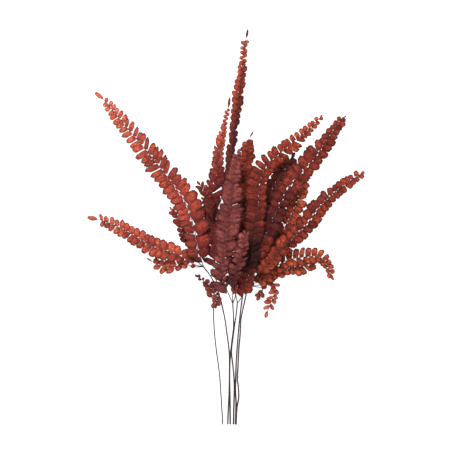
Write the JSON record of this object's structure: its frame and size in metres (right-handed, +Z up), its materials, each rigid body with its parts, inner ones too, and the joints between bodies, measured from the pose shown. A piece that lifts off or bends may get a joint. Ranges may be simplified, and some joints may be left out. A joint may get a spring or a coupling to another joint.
{
  "type": "bracken frond bunch",
  "caption": "Loose bunch of cut, dried red bracken fronds: bare wiry stipes fork into long arching pinnae with two rows of small oblong pinnules.",
  "frame": {"origin": "middle of the bunch's bounding box, on the surface that it lies on", "axes": "+Y along the bunch from the cut ends to the tips, +X to the right of the bunch seen from above with the tips away, +Z up from the surface"},
  "size_m": [0.4182, 0.5963, 0.0716],
  "materials": {
    "stipe": "smooth wiry bark, near-black brown with a soft gloss",
    "pinnule_coral": "dry thin leaf, orange red with darker rims, matte",
    "pinnule_brick": "dry thin leaf, brick red with brown rims, matte",
    "pinnule_mauve": "dry thin leaf seen from its dusty underside, mauve brown, matte",
    "pinnule_brown": "dry thin leaf, dark reddish brown, matte"
  },
  "bodies": {
    "root": {"stipe_1": "stipe", "stipe_2": "stipe", "stipe_3": "stipe", "stipe_4": "stipe", "stipe_5": "stipe", "stipe_6": "stipe", "pinna_centre_left": "pinnule_coral", "pinna_short_upright": "pinnule_brick", "pinna_low_left": "pinnule_brown", "pinna_hanging_left": "pinnule_brown", "pinna_upper_left": "pinnule_coral", "pinna_left_edge_on": "pinnule_brick", "pinna_lower_left": "pinnule_coral", "pinna_left_below": "pinnule_coral", "pinna_centre_front": "pinnule_mauve", "pinna_tallest": "pinnule_brick", "pinna_front_fork": "pinnule_mauve", "pinna_behind_centre": "pinnule_brick", "pinna_curving_right": "pinnule_brick", "pinna_arching_right": "pinnule_brick", "pinna_arching_under": "pinnule_brick", "pinna_hanging_right": "pinnule_coral", "pinna_small_low": "pinnule_brown", "pinna_back_inner": "pinnule_brown", "pinna_lower_right": "pinnule_brick", "pinna_upper_right": "pinnule_brick", "pinna_back_right": "pinnule_brick", "pinna_back_middle": "pinnule_brown"}
  },
  "joints": []
}
